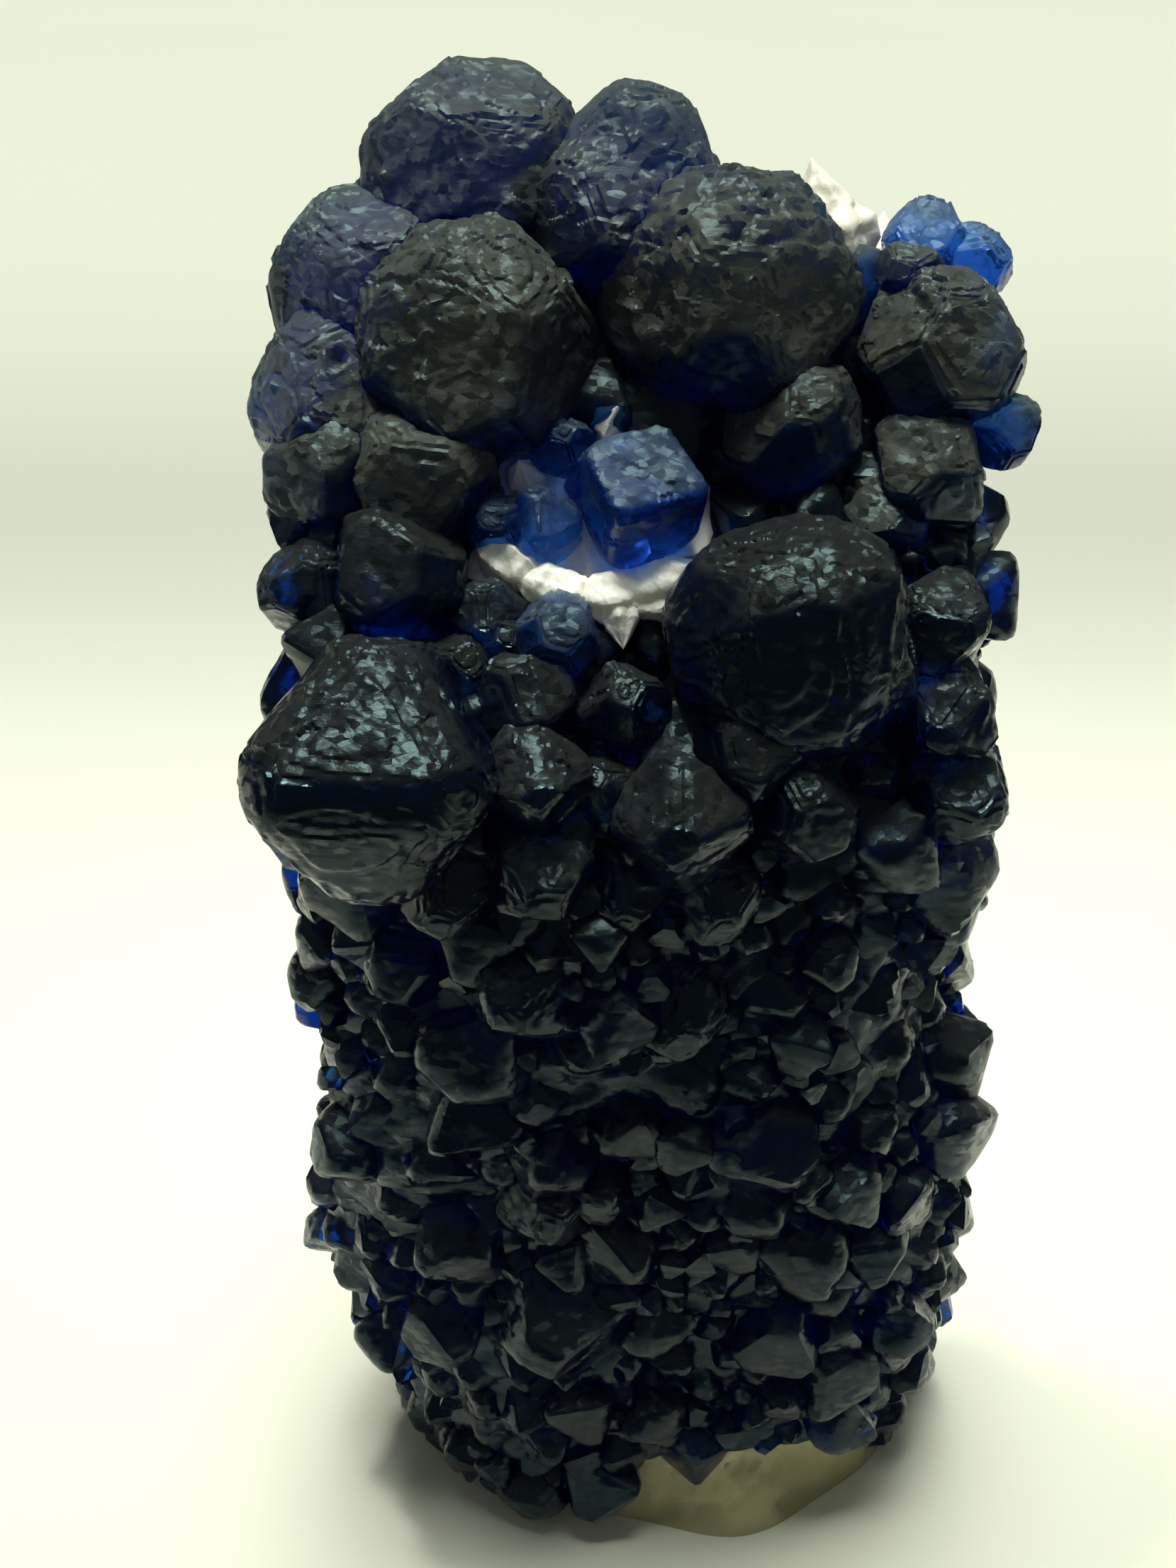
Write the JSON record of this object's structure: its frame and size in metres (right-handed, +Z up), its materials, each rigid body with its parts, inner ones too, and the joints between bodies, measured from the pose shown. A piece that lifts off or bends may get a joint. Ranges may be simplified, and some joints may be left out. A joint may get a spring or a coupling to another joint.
{
  "type": "blue fluorite on quartz specimen",
  "caption": "Tall hand specimen of dark blue fluorite crystals grown over a white quartz column, standing on its trimmed flat foot.",
  "frame": {"origin": "on the trimmed foot's flat face, under the middle of the quartz column", "axes": "+Z up along the column, front with the crystals towards -Y, +X to the right seen from the front"},
  "size_m": [0.0484, 0.0377, 0.0952],
  "materials": {
    "milky_quartz": "broken, slightly waxy",
    "fluorite": "etched satin over a glassy inside",
    "pale_fluorite": "glassy with frosted faces"
  },
  "bodies": {
    "root": {"quartz_matrix": "milky_quartz", "fluorite_crust": "fluorite", "pocket_crystal_block": "pale_fluorite", "pocket_crystal_back": "pale_fluorite", "pocket_crystal_left": "pale_fluorite"}
  },
  "joints": []
}
